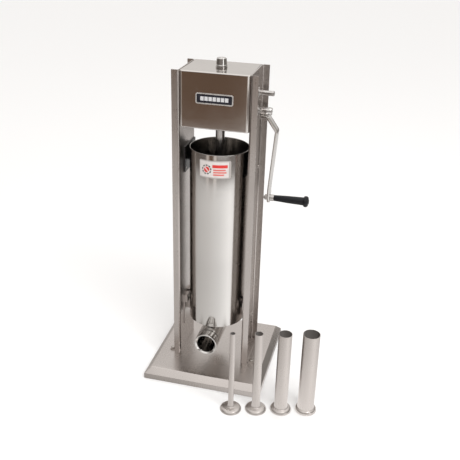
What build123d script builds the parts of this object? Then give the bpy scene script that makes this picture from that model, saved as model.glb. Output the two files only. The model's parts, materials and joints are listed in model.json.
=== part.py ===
from build123d import *
import math
import os

# Upright hand-cranked sausage stuffer with a two-speed rack drive.
# Origin: on the floor at the middle of the base, under the cylinder's axis.
# +Z is up, -Y is the front (spout side), +X is the crank side. Millimetres.

# ---------------------------------------------------------------- base
base_width = 302.0
base_depth = 305.0
base_height = 29.0
lip_top = 14.2
lip_bottom = 1.0
bevel_inset = 14.5
base_sheet = 1.5
mat_thickness = 2.0
mat_margin = 5.0

# ------------------------------------------------------------- columns
column_clear = 162.4
column_depth = 122.4
column_sheet = 2.0
column_bend = 5.0
flange_reach = 17.5
column_top = 779.2
foot_plate_reach = 97.0
foot_plate_half = 55.0
foot_plate_thickness = 3.0
foot_ear_radius = 7.5
foot_bolt_x = 107.0
foot_bolt_y = 47.0
foot_bolt_radius = 3.0
foot_bolt_flats = 10.0
foot_bolt_head = 4.0

# ------------------------------------------------------------- gearbox
gearbox_bottom = 650.0
cover_sheet = 1.5
cover_bend = 7.0
hood_top_bend = 3.0
hood_low_bend = 2.5
hood_return = 15.0
lug_size = 12.0
lug_margin = 3.0
floor_sheet = 2.0
plate_width = 86.0
plate_height = 24.5
plate_x = 1.0
plate_z = 720.5
plate_rim = 2.4

# --------------------------------------------------------------- drive
shaft_y = 23.5
fast_z = 723.0
slow_z = 681.0
fast_radius = 8.0
slow_radius = 7.0
shaft_end_radius = 6.0
running_clearance = 0.05
shaft_left_end = -87.0
shaft_shoulder = 86.5
fast_end = 119.0
slow_end = 114.0
flat_start = 106.0
flat_end = 113.5
flat_depth = 1.0
set_screw_x = 110.0
set_screw_radius = 2.5
bush_flange = 2.5
bush_length = 10.0
collar_length = 10.0
pressure_angle = math.radians(20.0)
addendum_factor = 0.8
rack_module = 2.5
rack_pinion_teeth = 14
rack_pinion_width = 24.0
gear_module = 1.5
slow_teeth = 14
large_teeth = 42
gear_x = 40.0
gear_width = 14.0
key_width = 5.0

# ------------------------------------------------------ rod and piston
rod_radius = 11.0
rod_bottom = 166.3
rod_top = 782.6
rod_stud = 7.0
rack_tip_y = 8.0
rack_start = 238.0
rack_end = 748.0
cap_foot_radius = 13.4
cap_top_radius = 11.4
cap_top = 800.0
guide_clearance = 0.06
piston_bottom = 137.3
piston_plate = 6.0
piston_seal_height = 8.0
piston_top_plate_thickness = 5.0
piston_boss = 10.0
piston_spigot = 60.0
valve_y = -40.0
valve_cage_radius = 12.0
valve_cage_height = 16.0
valve_roof = 3.0
valve_stem_radius = 3.0

# ------------------------------------------------------------ cylinder
cylinder_radius = 71.5
cylinder_sheet = 1.5
cylinder_bottom_z = 133.3
cylinder_rim = 593.7
cylinder_floor = 3.0
pin_z = 176.0
pin_radius = 5.0
spout_z = 103.0
spout_front = -110.0
sump_radius = 29.0
sump_back = 20.0
thread_radius = 26.0
thread_back = -84.0
spout_bore = 22.5
port_y = -15.0
port_bore = 19.0
nut_radius = 29.0
nut_back = -85.5
nut_mouth_radius = 26.5
nut_mouth_depth = 3.0
label_width_deg = 62.0
label_centre_deg = -84.5
label_low = 538.0
label_high = 581.0

# ------------------------------------------------------------ brackets
bracket_plate = 2.5
bolt_radius = 3.0
lower_bolt = (50.0, 113.0)
lower_bolt_front = (-22.0, 113.0)
upper_bolt = (50.0, 535.0)
upper_bolt_front = (-14.0, 535.0)

# --------------------------------------------------------------- crank
hub_start = 88.5
hub_end = 115.6
hub_radius = 9.0
arm_width = 25.0
arm_thickness = 6.0
arm_knee = (130.0, 637.0)
arm_foot_x = 118.5
arm_straight_z = 490.0
grip_z = 468.0
spindle_radius = 4.0
ferrule_end = 131.2
ferrule_radius = 8.0
grip_start = 131.5
grip_shoulder = 206.0
grip_end = 215.5

# ------------------------------------------------------ stuffing tubes
tube_length = 218.0
tube_wall = 1.0
tube_flange = 26.0
tube_radii = {"a": 6.5, "b": 10.0, "c": 16.0, "d": 20.0}
tube_row_start = (93.0, -207.0)
tube_row_step = (58.7, 16.0)

web_x = column_clear / 2
web_outer_x = web_x + column_sheet
half_depth = column_depth / 2
outer_x = web_x + flange_reach
bore_radius = cylinder_radius - cylinder_sheet


# ------------------------------------------------------- small helpers
def block(x, y, z):
    """A box between pairs of limits."""
    size = (x[1] - x[0], y[1] - y[0], z[1] - z[0])
    middle = ((x[0] + x[1]) / 2, (y[0] + y[1]) / 2, (z[0] + z[1]) / 2)
    return Pos(*middle) * Box(*size)


def bar_x(radius, x, y, z):
    """A round bar along X between two limits."""
    return Pos((x[0] + x[1]) / 2, y, z) * Rot(0, 90, 0) * Cylinder(radius, x[1] - x[0])


def bar_y(radius, x, y, z):
    """A round bar along Y between two limits."""
    return Pos(x, (y[0] + y[1]) / 2, z) * Rot(90, 0, 0) * Cylinder(radius, y[1] - y[0])


def bar_z(radius, x, y, z):
    """A round bar along Z between two limits."""
    return Pos(x, y, (z[0] + z[1]) / 2) * Cylinder(radius, z[1] - z[0])


def hexagon(flats, x, y, z):
    """An upright hexagonal bar between two heights."""
    face = RegularPolygon(flats / 2, 6, major_radius=False)
    return extrude(Pos(x, y, z[0]) * face, z[1] - z[0])


def mirrored(part):
    """The same part on the other side of the middle plane."""
    return mirror(part, about=Plane.YZ)


def both_sides(part):
    """A pair of parts, one on each side."""
    return Compound(children=[part, mirrored(part)])


# ----------------------------------------------------------- gear work
def involute(angle):
    return math.tan(angle) - angle


def gear_face(teeth, module, thinning):
    """A spur gear outline with one tooth centred on +X; thinning is taken off each tooth."""
    pitch_radius = module * teeth / 2
    base_radius = pitch_radius * math.cos(pressure_angle)
    tip_radius = pitch_radius + addendum_factor * module
    root_radius = pitch_radius - module
    half_pitch = math.pi / (2 * teeth) - thinning / (2 * pitch_radius)
    start_radius = max(base_radius, root_radius)

    def half_angle(radius):
        return half_pitch + involute(pressure_angle) - involute(math.acos(base_radius / radius))

    def spot(radius, angle):
        return (radius * math.cos(angle), radius * math.sin(angle))

    middle_radius = (start_radius + tip_radius) / 2
    foot = half_angle(start_radius)
    middle = half_angle(middle_radius)
    tip = half_angle(tip_radius)
    edges = []
    for tooth in range(teeth):
        centre = 2 * math.pi * tooth / teeth
        following = 2 * math.pi * (tooth + 1) / teeth
        rising_foot = spot(start_radius, centre - foot)
        falling_foot = spot(start_radius, centre + foot)
        rising_root = spot(root_radius, centre - foot)
        falling_root = spot(root_radius, centre + foot)
        rising_tip = spot(tip_radius, centre - tip)
        falling_tip = spot(tip_radius, centre + tip)
        if start_radius > root_radius:
            edges.append(Line(rising_root, rising_foot))
        edges.append(ThreePointArc(rising_foot, spot(middle_radius, centre - middle), rising_tip))
        edges.append(ThreePointArc(rising_tip, spot(tip_radius, centre), falling_tip))
        edges.append(ThreePointArc(falling_tip, spot(middle_radius, centre + middle), falling_foot))
        if start_radius > root_radius:
            edges.append(Line(falling_foot, falling_root))
        valley = spot(root_radius, centre + math.pi / teeth)
        edges.append(ThreePointArc(falling_root, valley, spot(root_radius, following - foot)))
    return make_face(Wire(edges))


def gear_along_x(face, turn_deg, x, z):
    """A spur gear with its axis along X; a tooth that pointed to +X first points to +Y turned by turn_deg."""
    plane = Plane(origin=(x[0], shaft_y, z), x_dir=(0, 1, 0), z_dir=(1, 0, 0))
    return extrude(plane * (Rot(0, 0, turn_deg) * face), x[1] - x[0])


def rack_cutter():
    """What is taken off the back of the rod to leave the rack's teeth."""
    pitch = math.pi * rack_module
    pitch_y = rack_tip_y - addendum_factor * rack_module
    root_y = pitch_y - rack_module
    slope = math.tan(pressure_angle)
    half_space = pitch / 4 + 0.075
    tip_half = half_space + (rack_tip_y - pitch_y) * slope
    root_half = half_space - (pitch_y - root_y) * slope
    back_y = rod_radius + 1
    first = math.ceil((rack_start - fast_z) / pitch)
    last = math.floor((rack_end - fast_z) / pitch)
    points = [(back_y, rack_start - pitch / 2), (rack_tip_y, rack_start - pitch / 2)]
    for space in range(first, last + 1):
        middle = fast_z + space * pitch
        points += [
            (rack_tip_y, middle - tip_half),
            (root_y, middle - root_half),
            (root_y, middle + root_half),
            (rack_tip_y, middle + tip_half),
        ]
    points += [(rack_tip_y, rack_end + pitch / 2), (back_y, rack_end + pitch / 2)]
    plane = Plane(origin=(-rod_radius - 1, 0, 0), x_dir=(0, 1, 0), z_dir=(1, 0, 0))
    outline = make_face(Polyline(*points, close=True))
    return extrude(plane * outline, 2 * rod_radius + 2)


# ---------------------------------------------------------------- base
def tray_form(width, depth, low, lip, top, inset):
    """A low box whose top edge is bevelled all round."""
    walls = block((-width / 2, width / 2), (-depth / 2, depth / 2), (low, lip))
    bevel = loft([
        Pos(0, 0, lip) * Rectangle(width, depth),
        Pos(0, 0, top) * Rectangle(width - 2 * inset, depth - 2 * inset),
    ])
    return walls + bevel


def foot_bolt_spots():
    return [(x, y) for x in (-foot_bolt_x, foot_bolt_x) for y in (-foot_bolt_y, foot_bolt_y)]


def base_tray():
    rise = base_height - lip_top
    inner_rise = rise - (2 - math.sqrt(2)) * base_sheet
    inner_top = base_height - base_sheet
    outside = tray_form(base_width, base_depth, lip_bottom, lip_top, base_height, bevel_inset)
    inside = tray_form(
        base_width - 2 * base_sheet,
        base_depth - 2 * base_sheet,
        lip_bottom - 1,
        inner_top - inner_rise,
        inner_top,
        bevel_inset * inner_rise / rise,
    )
    tray = outside - inside
    for x, y in foot_bolt_spots():
        tray -= bar_z(foot_bolt_radius, x, y, (base_height - 5, base_height + 5))
    return tray


def base_bottom_plate():
    half_x = base_width / 2 - base_sheet
    half_y = base_depth / 2 - base_sheet
    return block((-half_x, half_x), (-half_y, half_y), (mat_thickness, mat_thickness + base_sheet))


def rubber_mat():
    half_x = base_width / 2 - mat_margin
    half_y = base_depth / 2 - mat_margin
    mat = block((-half_x, half_x), (-half_y, half_y), (0, mat_thickness))
    return fillet(mat.edges().filter_by(Axis.Z), mat_margin)


# ------------------------------------------------------------- columns
def bracket_bolt_spots():
    return [lower_bolt, lower_bolt_front, upper_bolt, upper_bolt_front]


def right_column():
    outline = Pos((web_x + outer_x) / 2, 0) * Rectangle(flange_reach, column_depth)
    outline = fillet(outline.vertices().sort_by(Axis.X)[:2], column_bend)
    hollow_width = flange_reach - column_sheet + 1
    hollow = Rectangle(hollow_width, column_depth - 2 * column_sheet)
    hollow = Pos(web_outer_x + hollow_width / 2, 0) * hollow
    hollow = fillet(hollow.vertices().sort_by(Axis.X)[:2], column_bend - column_sheet)
    column = extrude(Pos(0, 0, base_height) * (outline - hollow), column_top - base_height)
    through = (web_x - 1, web_outer_x + 1)
    column -= bar_x(fast_radius + 3, through, shaft_y, fast_z)
    column -= bar_x(slow_radius + 3, through, shaft_y, slow_z)
    for y, z in bracket_bolt_spots():
        column -= bar_x(bolt_radius, through, y, z)
    return column


def foot_plates():
    """The plates inside the channels, with ears that bolt the columns to the base."""
    height = (base_height, base_height + foot_plate_thickness)
    plate = block((web_outer_x, foot_plate_reach), (-foot_plate_half, foot_plate_half), height)
    for y in (-foot_bolt_y, foot_bolt_y):
        ear = (y - foot_ear_radius, y + foot_ear_radius)
        plate += block((foot_plate_reach, foot_bolt_x), ear, height)
        plate += bar_z(foot_ear_radius, foot_bolt_x, y, height)
        plate -= bar_z(foot_bolt_radius, foot_bolt_x, y, (height[0] - 1, height[1] + 1))
    return both_sides(plate)


def foot_bolts():
    seat = base_height + foot_plate_thickness
    top = seat + foot_bolt_head
    bolts = []
    for x, y in foot_bolt_spots():
        dome = Cone(7.4, 1.4, 2 * foot_bolt_head, align=(Align.CENTER, Align.CENTER, Align.MIN))
        head = hexagon(foot_bolt_flats, x, y, (seat, top)) & (Pos(x, y, seat) * dome)
        bolts.append(head + bar_z(foot_bolt_radius, x, y, (18, seat)))
    return Compound(children=bolts)


def foot_nuts():
    top = base_height - base_sheet
    nuts = []
    for x, y in foot_bolt_spots():
        nut = hexagon(foot_bolt_flats, x, y, (top - 5, top))
        nuts.append(nut - bar_z(foot_bolt_radius, x, y, (top - 6, top + 1)))
    return Compound(children=nuts)


# ------------------------------------------------------------- gearbox
def folded_box(x, y, z, side_bend, low_bend, top_bend):
    """A box whose front face is folded back with round bends."""
    body = block(x, y, z)
    front = body.faces().sort_by(Axis.Y)[0]
    upright = front.edges().filter_by(Axis.Z)
    level = front.edges().filter_by(Axis.X).sort_by(Axis.Z)
    body = fillet(upright, side_bend)
    level = body.edges().filter_by(Axis.X).sort_by(Axis.Y)[:2].sort_by(Axis.Z)
    low = level[0]
    body = fillet(low, low_bend)
    high = body.edges().filter_by(Axis.X).sort_by(Axis.Z)[-2:].sort_by(Axis.Y)[0]
    return fillet(high, top_bend)


def gearbox_hood():
    """Front and top of the gearbox, folded from one sheet with narrow returns."""
    t = cover_sheet
    outside = folded_box(
        (-web_x, web_x),
        (-half_depth, half_depth),
        (gearbox_bottom, column_top),
        cover_bend,
        hood_low_bend,
        hood_top_bend,
    )
    inside = folded_box(
        (-web_x + t, web_x - t),
        (-half_depth + t, half_depth + 5),
        (gearbox_bottom + t, column_top - t),
        cover_bend - t,
        hood_low_bend - t,
        hood_top_bend - t,
    )
    hood = outside - inside
    hood -= block(
        (-web_x - 1, web_x + 1),
        (-half_depth + hood_return, half_depth + 1),
        (gearbox_bottom - 1, column_top - hood_return),
    )
    hood -= block(
        (-web_x - 1, web_x + 1),
        (half_depth - t - lug_size, half_depth + 1),
        (gearbox_bottom - 1, column_top - t),
    )
    return hood - bar_z(rod_radius + 2.5, 0, 0, (column_top - 3, column_top + 1))


def rear_lug_corners():
    """Inner lower corners of the four lugs behind the rear cover."""
    low = gearbox_bottom + cover_sheet + floor_sheet + 2
    high = column_top - cover_sheet - lug_margin - lug_size
    return [(x, z) for x in (-web_x, web_x - lug_size) for z in (low, high)]


def rear_cover_lugs():
    """Tapped blocks on the columns' webs that hold the rear cover."""
    back = half_depth - cover_sheet
    lugs = []
    for x, z in rear_lug_corners():
        lug = block((x, x + lug_size), (back - lug_size, back), (z, z + lug_size))
        lugs.append(lug - bar_y(2, x + lug_size / 2, (back - 8, back + 1), z + lug_size / 2))
    return Compound(children=lugs)


def gearbox_rear_cover():
    cover = block(
        (-web_x + 0.2, web_x - 0.2),
        (half_depth - cover_sheet, half_depth),
        (gearbox_bottom, column_top - cover_sheet),
    )
    for x, z in rear_lug_corners():
        cover -= bar_y(2, x + lug_size / 2, (half_depth - 5, half_depth + 1), z + lug_size / 2)
    return cover


def rear_cover_screws():
    screws = []
    for corner_x, corner_z in rear_lug_corners():
        x = corner_x + lug_size / 2
        z = corner_z + lug_size / 2
        head = bar_y(4, x, (half_depth, half_depth + 2.4), z)
        head = fillet(head.edges().sort_by(Axis.Y)[-1], 1.4)
        shank = bar_y(2, x, (half_depth - cover_sheet - 8, half_depth), z)
        slot = block((x - 3, x + 3), (half_depth + 1.4, half_depth + 3), (z - 0.5, z + 0.5))
        screws.append(head + shank - slot)
    return Compound(children=screws)


def gearbox_floor_plate():
    """The plate between the columns that closes the gearbox below."""
    low = gearbox_bottom + cover_sheet
    high = low + floor_sheet
    back = half_depth - cover_sheet
    front = -half_depth + hood_return
    plate = block((-web_x, web_x), (front, back), (low, high))
    plate += block((-60, 60), (front - 8, front), (low, high))
    for side in (-1, 1):
        ends = sorted((side * (web_x - floor_sheet), side * web_x))
        plate += block(ends, (-20, 20), (low, low + 16))
    return plate - bar_z(rod_radius + 2.5, 0, 0, (low - 1, high + 1))


def nameplate():
    """A plain plate with a raised rim on the front of the gearbox."""
    half_width = plate_width / 2
    half_height = plate_height / 2
    face_y = -half_depth
    plate = block(
        (plate_x - half_width, plate_x + half_width),
        (face_y - 1.4, face_y),
        (plate_z - half_height, plate_z + half_height),
    )
    plate = fillet(plate.edges().filter_by(Axis.Y), plate_rim + 2)
    field = block(
        (plate_x - half_width + plate_rim, plate_x + half_width - plate_rim),
        (face_y - 2, face_y - 0.8),
        (plate_z - half_height + plate_rim, plate_z + half_height - plate_rim),
    )
    return plate - fillet(field.edges().filter_by(Axis.Y), 2)


def guide_bush(body, flange, flange_radius):
    """A flanged bush that guides the rod."""
    bush = bar_z(rod_radius + 2.5, 0, 0, body) + bar_z(flange_radius, 0, 0, flange)
    bore = bar_z(rod_radius + guide_clearance, 0, 0, (body[0] - 1, max(body[1], flange[1]) + 1))
    return bush - bore


def top_guide_bush():
    return guide_bush((762, column_top), (column_top, column_top + 2), cap_foot_radius)


def bottom_guide_bush():
    seat = gearbox_bottom + cover_sheet + floor_sheet
    return guide_bush((gearbox_bottom - 0.4, seat + 16), (seat, seat + 4), 17)


def rack_guide_bar():
    return block((-web_x, web_x), (-31, -25), (fast_z - 15, fast_z + 15))


def rack_guide_pad():
    """The slippery pad that backs the rod against the pinion's push."""
    pad = block((-16, 16), (-25, -4), (fast_z - 20, fast_z + 20))
    return pad - bar_z(rod_radius + guide_clearance, 0, 0, (fast_z - 21, fast_z + 21))


def shaft_bushes(radius, z):
    """A pair of flanged bushes, one in each column's web."""
    inner_x = web_outer_x - bush_length
    bush = bar_x(radius + 3, (inner_x, web_outer_x), shaft_y, z)
    bush += bar_x(radius + 6, (web_outer_x, web_outer_x + bush_flange), shaft_y, z)
    bore = bar_x(radius + running_clearance, (inner_x - 1, web_outer_x + 5), shaft_y, z)
    return both_sides(bush - bore)


def shaft_collars(radius, z):
    """A pair of collars that keep a shaft from sliding endways."""
    high = web_outer_x - bush_length - 0.5
    collar = bar_x(radius + 5, (high - collar_length, high), shaft_y, z)
    collar -= bar_x(radius, (high - collar_length - 1, high + 1), shaft_y, z)
    return both_sides(collar)


# -------------------------------------------------------------- shafts
def key_limits(x):
    """The key on top of the fast shaft between two places along it."""
    half = key_width / 2
    low = fast_z + fast_radius - 3
    return block(x, (shaft_y - half, shaft_y + half), (low, low + key_width))


def plain_shaft(radius, end_x, z):
    shaft = bar_x(radius, (shaft_left_end, shaft_shoulder), shaft_y, z)
    shaft += bar_x(shaft_end_radius, (shaft_shoulder, end_x), shaft_y, z)
    shaft = chamfer(shaft.edges().filter_by(GeomType.CIRCLE).sort_by(Axis.X)[-1], 0.8)
    flat_low = z + shaft_end_radius - flat_depth
    flat = block((flat_start, flat_end), (shaft_y - 7, shaft_y + 7), (flat_low, flat_low + 4))
    return shaft - flat


def key_spots():
    pinion_half = rack_pinion_width / 2 - 2
    return [(-pinion_half, pinion_half), (gear_x + 1, gear_x + gear_width - 1)]


def fast_shaft():
    shaft = plain_shaft(fast_radius, fast_end, fast_z)
    for x in key_spots():
        shaft -= key_limits(x)
    return shaft


def fast_shaft_keys():
    return Compound(children=[key_limits(x) for x in key_spots()])


def keyed_bore(x):
    half = key_width / 2
    top = fast_z + fast_radius + 2.3
    bore = bar_x(fast_radius, x, shaft_y, fast_z)
    return bore + block(x, (shaft_y - half, shaft_y + half), (fast_z, top))


def rack_pinion():
    half = rack_pinion_width / 2
    face = gear_face(rack_pinion_teeth, rack_module, 0.15)
    pinion = gear_along_x(face, 180, (-half, half), fast_z)
    pinion += bar_x(13, (half, half + 8), shaft_y, fast_z)
    return pinion - keyed_bore((-half - 1, half + 9))


def large_gear():
    ends = (gear_x, gear_x + gear_width)
    face = gear_face(large_teeth, gear_module, 0.1)
    gear = gear_along_x(face, -90, ends, fast_z)
    gear += bar_x(14, (gear_x - 8, gear_x), shaft_y, fast_z)
    for quarter in range(4):
        angle = math.radians(45 + 90 * quarter)
        y = shaft_y + 21 * math.cos(angle)
        z = fast_z + 21 * math.sin(angle)
        gear -= bar_x(5, (gear_x - 1, ends[1] + 1), y, z)
    return gear - keyed_bore((gear_x - 9, ends[1] + 1))


def slow_shaft():
    return plain_shaft(slow_radius, slow_end, slow_z)


def slow_pinion():
    """Small pinion, with a tooth space where the large gear's lowest tooth comes in."""
    face = gear_face(slow_teeth, gear_module, 0.1)
    half_pitch_deg = 180 / slow_teeth
    ends = (gear_x - 2, gear_x + gear_width + 2)
    pinion = gear_along_x(face, 90 + half_pitch_deg, ends, slow_z)
    return pinion - bar_x(slow_radius, (ends[0] - 1, ends[1] + 1), shaft_y, slow_z)


# --------------------------------------------------------------- crank
def crank_hub():
    hub = bar_x(hub_radius, (hub_start, hub_end), shaft_y, slow_z)
    hub = chamfer(hub.edges().filter_by(GeomType.CIRCLE), 0.8)
    hub -= bar_x(shaft_end_radius, (hub_start - 1, hub_end + 1), shaft_y, slow_z)
    hole = (slow_z + 3, slow_z + hub_radius + 1)
    return hub - bar_z(set_screw_radius, set_screw_x, shaft_y, hole)


def crank_set_screw():
    low = slow_z + shaft_end_radius - flat_depth
    high = slow_z + hub_radius - 0.3
    screw = bar_z(set_screw_radius, set_screw_x, shaft_y, (low, high))
    return screw - hexagon(2.5, set_screw_x, shaft_y, (high - 2, high + 1))


def crank_arm():
    """A flat bar, bent outwards below the hub and then down to the grip."""
    strap_z = slow_z - hub_radius - arm_thickness / 2 + 0.2
    path = FilletPolyline(
        (hub_start, strap_z),
        (107, strap_z),
        arm_knee,
        (arm_foot_x, arm_straight_z),
        (arm_foot_x, grip_z - arm_width / 2),
        radius=9,
    )
    profile = trace(path, line_width=arm_thickness)
    plane = Plane(origin=(0, shaft_y + arm_width / 2, 0), x_dir=(1, 0, 0), z_dir=(0, -1, 0))
    arm = extrude(plane * profile, arm_width)
    side = (shaft_y - arm_width / 2, shaft_y + arm_width / 2)
    keep = block((80, 140), side, (grip_z, slow_z))
    keep += bar_x(arm_width / 2, (100, 140), shaft_y, grip_z)
    arm &= keep
    arm -= bar_x(hub_radius, (hub_start - 1, hub_end + 1), shaft_y, slow_z)
    return arm - bar_x(spindle_radius, (100, 140), shaft_y, grip_z)


def grip_spindle():
    """A headed pin through the arm, with its nut on the inner side."""
    inner = arm_foot_x - arm_thickness / 2
    pin = bar_x(spindle_radius, (inner - 9, grip_shoulder - 2), shaft_y, grip_z)
    head = bar_x(5.5, (grip_shoulder - 2, grip_shoulder + 1), shaft_y, grip_z)
    nut = Rot(0, 90, 0) * extrude(RegularPolygon(6.5, 6, major_radius=False), 6.5)
    return pin + head + Pos(inner - 6.5, shaft_y, grip_z) * nut


def grip_ferrule():
    start = arm_foot_x + arm_thickness / 2
    ring = bar_x(ferrule_radius, (start, ferrule_end), shaft_y, grip_z)
    ring = fillet(ring.edges().filter_by(GeomType.CIRCLE), 1)
    return ring - bar_x(spindle_radius, (start - 1, ferrule_end + 1), shaft_y, grip_z)


def grip():
    """A tapered turning grip with a flange at its outer end."""
    bore = spindle_radius + running_clearance
    recess = grip_shoulder - 2.3
    outline = [
        (grip_start, bore),
        (grip_start, 7.2),
        (grip_shoulder - 3, 9.8),
        (grip_shoulder, 13.2),
        (grip_shoulder + 5, 13.6),
        (grip_end - 1.5, 11),
        (grip_end, 8),
        (grip_end, 6),
        (recess, 6),
        (recess, bore),
    ]
    body = revolve(make_face(Polyline(*outline, close=True)), Axis.X)
    return Pos(0, shaft_y, grip_z) * body


def grip_end_plug():
    plug = bar_x(6, (grip_shoulder + 1.5, grip_end + 0.8), shaft_y, grip_z)
    return fillet(plug.edges().sort_by(Axis.X)[-1], 0.6)


# ------------------------------------------------------ rod and piston
def rack_rod():
    rod = bar_z(rod_radius, 0, 0, (rod_bottom, rod_top))
    rod += bar_z(rod_stud, 0, 0, (piston_bottom + 2, rod_bottom))
    rod += bar_z(rod_stud, 0, 0, (rod_top, cap_top - 5))
    return rod - rack_cutter()


def rod_cap():
    height = cap_top - rod_top
    middle = Pos(0, 0, (rod_top + cap_top) / 2)
    cap = middle * Cone(cap_foot_radius, cap_top_radius, height)
    cap = fillet(cap.edges().sort_by(Axis.Z)[-1], 2)
    return cap - bar_z(rod_stud, 0, 0, (rod_top - 1, cap_top - 5))


def piston_levels():
    """Heights of the piston's layers: under the seal, over it, and on top of the upper plate."""
    under = piston_bottom + piston_plate
    over = under + piston_seal_height
    return under, over, over + piston_top_plate_thickness


def valve_hole():
    return bar_z(4, 0, valve_y, (piston_bottom - 1, piston_bottom + 30))


def piston_bottom_plate():
    under, over, top = piston_levels()
    plate = bar_z(69.4, 0, 0, (piston_bottom, under))
    plate = fillet(plate.edges().sort_by(Axis.Z)[0], 1.5)
    plate += bar_z(piston_spigot, 0, 0, (under, over))
    return plate - bar_z(rod_stud, 0, 0, (piston_bottom + 2, over + 1)) - valve_hole()


def piston_seal():
    under, over, top = piston_levels()
    seal = bar_z(bore_radius - 0.08, 0, 0, (under, over))
    seal = chamfer(seal.edges().filter_by(GeomType.CIRCLE), 1.5)
    return seal - bar_z(piston_spigot, 0, 0, (under - 1, over + 1))


def piston_top_plate():
    under, over, top = piston_levels()
    plate = bar_z(68.5, 0, 0, (over, top)) + bar_z(20, 0, 0, (top, top + piston_boss))
    return plate - bar_z(rod_stud, 0, 0, (over - 1, top + piston_boss + 1)) - valve_hole()


def piston_lock_nut():
    nut = hexagon(34, 0, 0, (rod_bottom, rod_bottom + 12))
    nut &= Pos(0, 0, rod_bottom) * Cone(24, 12, 24, align=(Align.CENTER, Align.CENTER, Align.MIN))
    return nut - bar_z(rod_radius, 0, 0, (rod_bottom - 1, rod_bottom + 13))


def valve_levels():
    """Seat, underside of the roof and top of the valve's cage."""
    seat = piston_levels()[2]
    return seat, seat + valve_cage_height - valve_roof, seat + valve_cage_height


def valve_cage():
    seat, roof, top = valve_levels()
    cage = bar_z(valve_cage_radius, 0, valve_y, (seat, top))
    cage -= bar_z(9, 0, valve_y, (seat - 1, roof))
    cage -= bar_z(valve_stem_radius + guide_clearance, 0, valve_y, (roof - 1, top + 1))
    return cage - bar_x(2, (-13, 13), valve_y, seat + 6)


def valve_stem():
    seat, roof, top = valve_levels()
    stem = bar_z(7, 0, valve_y, (seat + 0.1, seat + 4.1))
    stem += bar_z(valve_stem_radius, 0, valve_y, (seat + 4, top + 11))
    return stem + bar_z(6, 0, valve_y, (top + 7, top + 11))


def valve_spring():
    seat, roof, top = valve_levels()
    wire = 0.5
    height = roof - (seat + 4.1) - 2 * wire
    path = Pos(0, valve_y, seat + 4.1 + wire) * Helix(height / 4, height, 5.5)
    section = Plane(origin=path @ 0, z_dir=path % 0) * Circle(wire)
    return sweep(section, path, is_frenet=True)


# ------------------------------------------------------------ cylinder
def cylinder_shell():
    shell = bar_z(cylinder_radius, 0, 0, (cylinder_bottom_z, cylinder_rim))
    return shell - bar_z(bore_radius, 0, 0, (cylinder_bottom_z - 1, cylinder_rim + 1))


def cylinder_bottom():
    top = cylinder_bottom_z + cylinder_floor
    plate = bar_z(bore_radius, 0, 0, (cylinder_bottom_z, top))
    return plate - bar_z(port_bore, 0, port_y, (cylinder_bottom_z - 1, top + 1))


def outlet_neck():
    """A sump tube under the cylinder that ends in the threaded spout."""
    neck_front = spout_front + 4.5
    neck = bar_y(sump_radius, 0, (thread_back, sump_back), spout_z)
    neck += bar_y(thread_radius, 0, (neck_front, thread_back), spout_z)
    neck += bar_z(port_bore + 4, 0, port_y, (spout_z, cylinder_bottom_z))
    neck -= bar_y(spout_bore, 0, (neck_front - 1, sump_back - 3), spout_z)
    neck -= bar_z(port_bore, 0, port_y, (spout_z, cylinder_bottom_z + 1))
    for groove in range(6):
        y = neck_front + 2 + 3 * groove
        ring = bar_y(thread_radius + 1, 0, (y, y + 1.4), spout_z)
        neck -= ring - bar_y(thread_radius - 1, 0, (y, y + 1.4), spout_z)
    return neck


def ring_nut():
    """The nut that clamps a stuffing tube's flange on the spout."""
    nut = bar_y(nut_radius, 0, (spout_front, nut_back), spout_z)
    nut = fillet(nut.edges().filter_by(GeomType.CIRCLE), 1.5)
    nut -= bar_y(thread_radius + 0.08, 0, (spout_front + 4, nut_back + 1), spout_z)
    nut -= bar_y(spout_bore + 0.5, 0, (spout_front - 1, spout_front + 5), spout_z)
    mouth = Rot(90, 0, 0) * Cone(spout_bore + 0.5, nut_mouth_radius, nut_mouth_depth)
    nut -= Pos(0, spout_front + nut_mouth_depth / 2, spout_z) * mouth
    for flute in range(12):
        angle = math.radians(30 * flute + 15)
        x = (nut_radius + 3.2) * math.cos(angle)
        z = spout_z + (nut_radius + 3.2) * math.sin(angle)
        nut -= bar_y(4, x, (spout_front + 8, nut_back + 1), z)
    return nut


def cylinder_pins():
    """The two pins that carry the cylinder in its brackets."""
    pin = bar_x(9, (60, 73), 0, pin_z) + bar_x(pin_radius, (60, web_x - 0.3), 0, pin_z)
    return both_sides(pin - bar_z(cylinder_radius, 0, 0, (pin_z - 20, pin_z + 20)))


def right_lower_bracket():
    """A plate on the web with a pocket that the cylinder's pin drops into."""
    plate_x = (web_x - bracket_plate, web_x)
    pocket_x = (73.3, web_x - bracket_plate)
    top = pin_z + 12
    bracket = block(plate_x, (-30, 60), (103, top))
    bracket += block(pocket_x, (-26, 26), (pin_z - 10, top))
    bracket += block(pocket_x, (-6, 6), (138, pin_z - 10))
    slot = pin_radius + 0.2
    bracket -= bar_x(slot, (70, web_x), 0, pin_z)
    bracket -= block((70, web_x), (-slot, slot), (pin_z, top + 1))
    for y, z in (lower_bolt, lower_bolt_front):
        bracket -= bar_x(bolt_radius, (70, web_x), y, z)
    return bracket


def right_upper_bracket():
    """A plate on the web that carries the saddle pad."""
    plate_x = (web_x - bracket_plate, web_x)
    bracket = block(plate_x, (-24, 60), (527, 590))
    for y, z in (upper_bolt, upper_bolt_front):
        bracket -= bar_x(bolt_radius, (70, web_x), y, z)
    return bracket


def saddle_pads():
    """The pads that the cylinder leans back on, one on each upper bracket."""
    pad = block((50, web_x - bracket_plate), (20, 50), (544, 582))
    return both_sides(pad - bar_z(cylinder_radius + 0.4, 0, 0, (540, 590)))


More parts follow.
